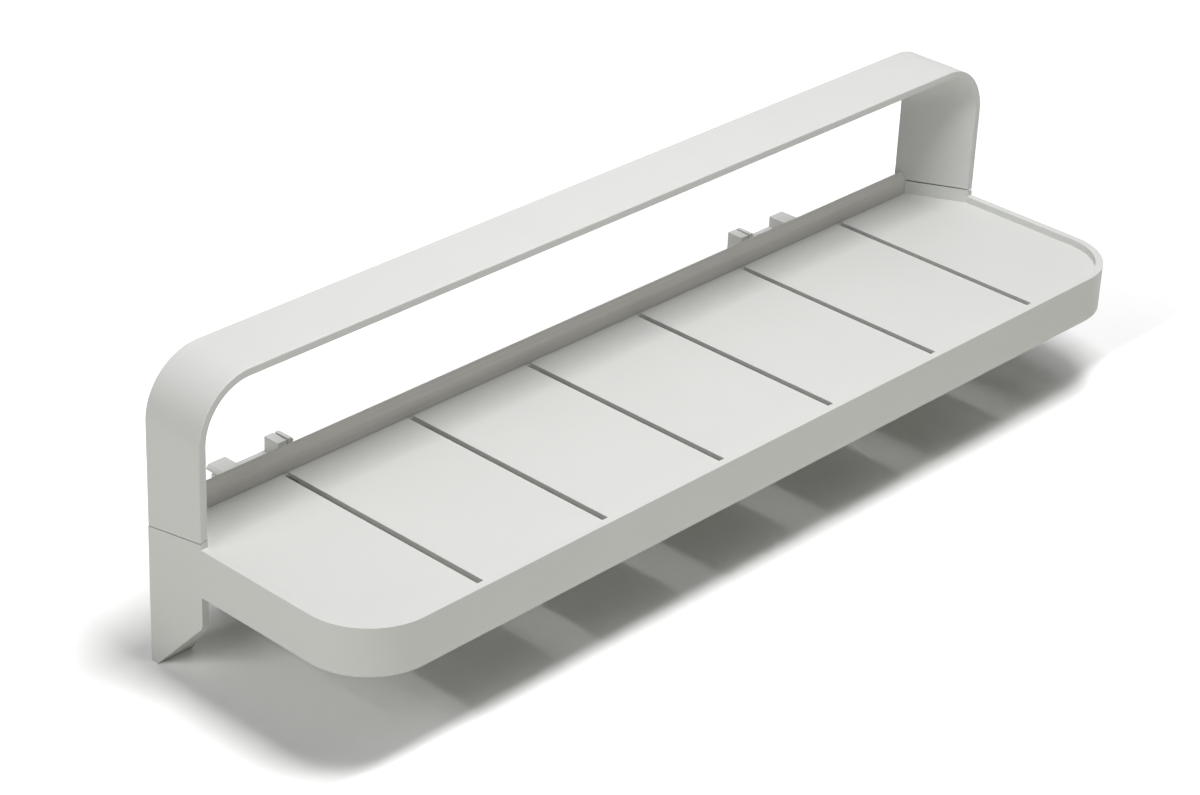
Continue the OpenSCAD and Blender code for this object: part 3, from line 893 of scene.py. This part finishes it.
class TABLE_OT_rail(bpy.types.Operator):
    """Model the painted rail behind the tray, with notches for the brackets and countersunk screw holes"""

    bl_idname = "table.rail"
    bl_label = "Rear rail"

    def execute(self, context):
        s = sizes()
        reach = tray_high.x
        edge, top = s.recess_back - s.rail_lean, rail_high.z
        foot, inner = s.seam + s.seam_gap, s.rail_wall
        lip, lip_end = s.rail_lip - s.recess_back, s.rim_height - s.step + s.rail_gap
        section = [
            (-s.wall_back, rail_low.z),
            (0, rail_low.z),
            (0, top - s.rail_bevel),
            (s.rail_edge - edge, top),
            (-edge, top),
            (-s.recess_back, foot),
            (-s.recess_back, lip_end),
            (lip, lip_end),
            (lip, foot),
            (s.rail_edge - edge, top - 2 * inner),
            (-inner, top - s.rail_bevel - inner / 2),
            (-inner, rail_low.z + inner),
            (-s.wall_back, rail_low.z + inner),
        ]
        along_x = Matrix(((0, 0, 1, -reach), (1, 0, 0, 0), (0, 1, 0, 0), (0, 0, 0, 1)))
        rail = add_outline("rail_extrusion", section, along_x)
        extrude_outline(x=2 * reach)
        lean = wedge_angle()
        for side in SIDES.values():
            pick_all()
            cut_away(((reach - s.heel - s.rail_gap) * side, 0, 0), (side * math.cos(lean), math.sin(lean), 0))
        point_outwards()
        inside, height = -2 * s.recess_back, s.rail_screw_z
        cutters = bracket_notches()
        for x in rail_screws():
            cutters.append(add_rod("cutter", s.rail_hole, (x, inside, height), (x, PAST, height)))
        cutters += [countersink(x) for x in rail_screws()]
        combine(rail, cutters, "DIFFERENCE")
        round_edges(rail, lambda place: s.fine_edge, sharp=15)
        finish_piece(rail, SHELF, "rail", "rear_rail")
        return {"FINISHED"}


def rail_screws():
    """Where the screws stand along the rail"""
    s = sizes()
    half = tray_high.x - s.heel - s.rail_screw_inset
    return [-half + 2 * half * i / (s.rail_screws - 1) for i in range(s.rail_screws)]


def countersink(x):
    """A cone-shaped cutter for a flat screw head in the rail's back"""
    s = sizes()
    deselect_all()
    bpy.ops.mesh.primitive_cone_add(
        vertices=32,
        radius1=s.sink_rim,
        radius2=s.sink_foot,
        depth=s.sink_depth,
        location=(x, SAME - s.sink_depth / 2, s.rail_screw_z),
        rotation=(math.radians(90), 0, 0),
    )
    return name_new("cutter")


class TABLE_OT_brackets(bpy.types.Operator):
    """Model both brackets, each a plate with a hooked jaw, a forked jaw and seats for four screws"""

    bl_idname = "table.brackets"
    bl_label = "Brackets"

    def execute(self, context):
        b = jaws()
        back = bracket_high.y
        front, height = back - b.jaw_length, -b.plate / 2
        low, high = -2 * b.plate, 2 * b.plate
        for name, side in SIDES.items():
            bracket = bracket_solid(side)
            axis = tongue_axis(name)
            cutters = [
                add_rod("cutter", b.foot + b.foot_gap, (axis, front, height), (axis, back + PAST, height)),
                add_block("cutter", (axis - b.neck, front, height), (axis + b.neck, back + PAST, PAST)),
            ]
            for x, y in bracket_screws():
                if x * side > 0:
                    cutters.append(add_rod("cutter", b.screw_hole, (x, y, low), (x, y, high), 32))
                    cutters.append(add_rod("cutter", b.screw_seat, (x, y, low), (x, y, b.head - b.plate), 32))
            combine(bracket, cutters, "DIFFERENCE")
            round_edges(bracket, bracket_edge_radius)
            finish_piece(bracket, SHELF, "shell", f"bracket_{name}")
        return {"FINISHED"}


def tongue_axis(name):
    """Where the round foot of a side's tongue stands along X"""
    return latch_boxes[name][0].x + jaws().tongue / 2


def bracket_edge_radius(place):
    """Softer edges on the jaws, crisp ones on the plate and round its seats"""
    return sizes().edge if place.z > MM else sizes().fine_edge


def bracket_solid(side):
    """Plate, hooked jaw and fixed half of the forked jaw as one solid"""
    b = jaws()
    inner, outer = bracket_low.x, bracket_plate_edge()
    back = bracket_high.y
    front = bracket_low.y
    corners = [(x * side, y) for x, y in ((inner, front), (outer, front), (outer, back), (inner, back))]
    plate = add_outline("bracket_moulding", corners, Matrix.Translation((0, 0, -b.plate)))
    pick("verts", lambda v: v.co.y < 0)
    round_corners(b.corner, segments=12)
    extrude_outline(z=b.plate)
    point_outwards()
    start = outer - b.hook_inset
    end, height, ramp_end = b.hook_foot + b.hook_lip, b.hook_height, b.lip_thickness / 2
    profile = [
        (0, -MM),
        (b.hook_foot, -MM),
        (b.hook_foot, height - b.lip_thickness),
        (end, height - b.lip_thickness),
        (end, height - ramp_end),
        (end - ramp_end, height),
        (0, height),
    ]
    hook = add_outline("hook", [((start + x) * side, z) for x, z in profile], upright_place(0, back))
    extrude_outline(y=-b.hook_length)
    point_outwards()
    tongue_low = latch_boxes["right" if side > 0 else "left"][0]
    fork_end = tongue_low.x - b.slit
    fork = add_block("fork", (fork_end - b.fork, back - b.jaw_length, -MM), (fork_end, back, b.fork_height))
    combine(plate, [hook, fork], "UNION")
    return plate


class TABLE_OT_latches(bpy.types.Operator):
    """Model both sprung tongues, each with a barb, a neck and a round foot"""

    bl_idname = "table.latches"
    bl_label = "Latches"

    def execute(self, context):
        b = jaws()
        for name in SIDES:
            low, high = latch_boxes[name]
            lead = b.barb_height / 4
            profile = [
                (0, b.tongue_gap),
                (b.tongue, b.tongue_gap),
                (b.tongue, high.z - b.barb_height),
                (b.tongue + b.barb, high.z - b.barb_height),
                (b.tongue + b.barb, high.z - b.barb_height + lead),
                (b.tongue - lead, high.z),
                (0, high.z),
            ]
            tongue = add_outline(f"tongue_{name}", profile, upright_place(low.x, high.y))
            extrude_outline(y=low.y - high.y)
            point_outwards()
            axis, height = tongue_axis(name), -b.plate / 2
            foot = add_rod("foot", b.foot, (axis, low.y, height), (axis, high.y, height))
            half = b.neck / 2
            neck = add_block("neck", (axis - half, low.y, height), (axis + half, high.y, 2 * b.tongue_gap))
            combine(tongue, [neck, foot], "UNION")
            round_edges(tongue, lambda point: sizes().fine_edge if point.z > MM else b.foot_edge)
            finish_piece(tongue, f"latch_{name}", "shell", f"latch_{name}")
        return {"FINISHED"}


class TABLE_OT_carried(bpy.types.Operator):
    """Give every CAD piece that is shown as it is the finish of its material slot"""

    bl_idname = "table.carried"
    bl_label = "Carried-over pieces"

    def execute(self, context):
        slots = {row["node"]: row["material_slot"] for row in frame["record"]["subparts"]}
        for name, piece in frame["nodes"].items():
            piece.data.materials.clear()
            piece.data.materials.append(finish(slots[name]))
        return {"FINISHED"}


class TABLE_OT_stage(bpy.types.Operator):
    """Set up the studio: floor, soft lamps, white surroundings and the camera"""

    bl_idname = "table.stage"
    bl_label = "Studio"

    def execute(self, context):
        studio_floor()
        studio_world()
        # One softbox overhead, a little to the front, draws the slots as pale stripes in the tray's shadow
        studio_lamp("overhead", place=(-0.05, -0.47, 1.9), size=(0.75, 0.7), power=27.3)
        # A wide, weak one round it softens what the first one draws
        studio_lamp("ceiling", place=(0.7, -0.24, 2.0), size=(3.2, 0.9), power=11)
        # A box on the left lights the end faces and shines in under the tray
        studio_lamp("left_key", place=(-1.83, -0.36, 1.2), size=(1.0, 0.38), power=9.8)
        # Weak fills low on the left and high on the right even out the upright faces
        studio_lamp("left_fill", place=(-2.2, -0.1, 0.3), size=(1.2, 0.4), power=3.5)
        studio_lamp("right_fill", place=(1.69, -0.1, 1.41), size=(1.2, 0.8), power=3.1)
        studio_camera()
        context.scene.view_settings.view_transform = "Standard"
        return {"FINISHED"}


def shown_rays(tree):
    """Socket that is 1 for the rays that show the white background: the camera's, glossy and clear ones"""
    rays = add_node(tree, "ShaderNodeLightPath")
    shown = rays.outputs["Is Camera Ray"]
    for kind in ("Is Glossy Ray", "Is Transmission Ray"):
        either = add_node(tree, "ShaderNodeMath", [(0, shown), (1, rays.outputs[kind])], operation="MAXIMUM")
        shown = either.outputs["Value"]
    return shown


def floor_gradient(tree, kind, **place):
    """A gradient on the floor's own coordinates, set out by a scale, a turn and a move"""
    coordinates = add_node(tree, "ShaderNodeTexCoord")
    mapping = add_node(tree, "ShaderNodeMapping", [("Vector", coordinates.outputs["Object"])], **place)
    links = [("Vector", mapping.outputs["Vector"])]
    return add_node(tree, "ShaderNodeTexGradient", links, gradient_type=kind).outputs["Fac"]


def studio_floor():
    """Pale floor under the toes, bright enough for the camera to read as white"""
    deselect_all()
    bpy.ops.mesh.primitive_plane_add(size=30, location=(0, 0, tray_low.z))
    floor = name_new("studio_floor")
    material, tree = new_material("studio_paper")
    shown = shown_rays(tree)
    # The bare floor reads as pure white, so the camera sees it brighter, more so away from the table
    centre, reach = Vector((0.12, -0.35, 0)), 2.5
    near = floor_gradient(tree, "SPHERICAL", Scale=[1 / reach] * 3, Location=-centre / reach)

    def nearness(distance):
        return 1 - distance / reach

    gain = add_node(
        tree,
        "ShaderNodeMapRange",
        [("Value", near)],
        From_Min=nearness(reach),
        From_Max=nearness(0.45),
        To_Min=4.0,
        To_Max=1.1,
    )
    # In front of the tray the bare paper starts at the shadow's edge, which runs almost along X
    start, fade, turn = 202.66 * MM, 14.006 * MM, math.radians(89.14)
    ahead = floor_gradient(
        tree, "LINEAR", Scale=[1 / fade] * 3, Rotation=(0, 0, turn), Location=(-start / fade, 0, 0)
    )
    rise = add_node(tree, "ShaderNodeMapRange", [("Value", ahead)], To_Min=1.0, To_Max=1.5)
    both = [(0, gain.outputs["Result"]), (1, rise.outputs["Result"])]
    total = add_node(tree, "ShaderNodeMath", both, operation="MULTIPLY")
    paper_input, shown_input = 6, 7
    tint = add_node(
        tree, "ShaderNodeMix", [("Factor", shown), (shown_input, total.outputs["Value"])], data_type="RGBA"
    )
    tint.inputs[paper_input].default_value = shade(colours().floor, 0)
    paper = add_node(tree, "ShaderNodeBsdfDiffuse", [("Color", tint.outputs[2])])
    # From 1 m to 1.5 m away, plain white takes the place of the paper for the camera
    far = add_node(
        tree,
        "ShaderNodeMapRange",
        [("Value", near)],
        From_Min=nearness(1.5),
        From_Max=nearness(1.0),
        To_Min=1.0,
        To_Max=0.0,
    )
    bare = add_node(tree, "ShaderNodeMath", [(0, far.outputs["Result"]), (1, shown)], operation="MULTIPLY")
    white = add_node(tree, "ShaderNodeEmission", Color=WHITE, Strength=1.0)
    shader = add_node(
        tree,
        "ShaderNodeMixShader",
        [("Fac", bare.outputs["Value"]), (1, paper.outputs["BSDF"]), (2, white.outputs["Emission"])],
    )
    add_node(tree, "ShaderNodeOutputMaterial", [("Surface", shader.outputs["Shader"])])
    floor.data.materials.append(material)


def studio_world():
    """Surroundings that are white where they are shown and give almost no light"""
    world = bpy.data.worlds.new("studio")
    bpy.context.scene.world = world
    world.use_nodes = True
    tree = world.node_tree
    tree.nodes.clear()
    faint, white = 0.012, 1.0
    strength = add_node(tree, "ShaderNodeMapRange", [("Value", shown_rays(tree))], To_Min=faint, To_Max=white)
    light = add_node(tree, "ShaderNodeBackground", [("Strength", strength.outputs["Result"])], Color=WHITE)
    add_node(tree, "ShaderNodeOutputWorld", [("Surface", light.outputs["Background"])])


def studio_lamp(name, place, size, power):
    """A softbox that points at the middle of the tray"""
    deselect_all()
    bpy.ops.object.light_add(type="AREA", location=place)
    lamp = bpy.context.active_object
    lamp.name = name
    lamp.data.shape = "RECTANGLE"
    lamp.data.size, lamp.data.size_y = size
    lamp.data.energy = power
    target = Vector((0, -0.1, 0))
    lamp.rotation_euler = (Vector(place) - target).to_track_quat("Z", "Y").to_euler()


def studio_camera():
    """The photograph's viewpoint: from the left front, 29 degrees down, with a long lens and a slight roll"""
    deselect_all()
    azimuth, elevation, roll = math.radians(-47.68), math.radians(28.75), math.radians(2.63)
    place = Vector((-1.7602, -1.6337, 1.2885))
    bpy.ops.object.camera_add(location=place)
    camera = bpy.context.active_object
    camera.name = "studio_camera"
    right = Vector((math.cos(azimuth), math.sin(azimuth), 0))
    level = math.cos(elevation)
    back = Vector((math.sin(azimuth) * level, -math.cos(azimuth) * level, math.sin(elevation)))
    up = back.cross(right)
    turn = Matrix((right, up, back)).transposed() @ Matrix.Rotation(roll, 3, "Z")
    camera.rotation_euler = turn.to_euler()
    camera.data.lens = 99.29
    camera.data.sensor_width = 36
    camera.data.clip_end = 100
    bpy.context.scene.camera = camera


class TABLE_PT_panel(bpy.types.Panel):
    """Lists the sizes, colours and pieces of the table"""

    bl_label = "Side Table"
    bl_idname = "TABLE_PT_panel"
    bl_space_type = "VIEW_3D"
    bl_region_type = "UI"
    bl_category = "Side Table"

    def draw(self, context):
        for group in (sizes(), jaws(), colours()):
            box = self.layout.box()
            for key in group.__annotations__:
                box.prop(group, key)
        for operator in OPERATORS:
            self.layout.operator(operator.bl_idname)


OPERATORS = [
    TABLE_OT_tray,
    TABLE_OT_hoop,
    TABLE_OT_rail,
    TABLE_OT_brackets,
    TABLE_OT_latches,
    TABLE_OT_carried,
    TABLE_OT_stage,
]
CLASSES = [TableSizes, BracketSizes, TableColours, *OPERATORS, TABLE_PT_panel]


def register():
    for item in CLASSES:
        bpy.utils.register_class(item)
    bpy.types.Scene.table_sizes = PointerProperty(type=TableSizes)
    bpy.types.Scene.bracket_sizes = PointerProperty(type=BracketSizes)
    bpy.types.Scene.table_colours = PointerProperty(type=TableColours)


def unregister():
    del bpy.types.Scene.table_colours
    del bpy.types.Scene.bracket_sizes
    del bpy.types.Scene.table_sizes
    for item in reversed(CLASSES):
        bpy.utils.unregister_class(item)


def main():
    register()
    bpy.ops.table.tray()
    bpy.ops.table.hoop()
    bpy.ops.table.rail()
    bpy.ops.table.brackets()
    bpy.ops.table.latches()
    bpy.ops.table.carried()
    bpy.ops.table.stage()


if __name__ == "__main__":
    main()
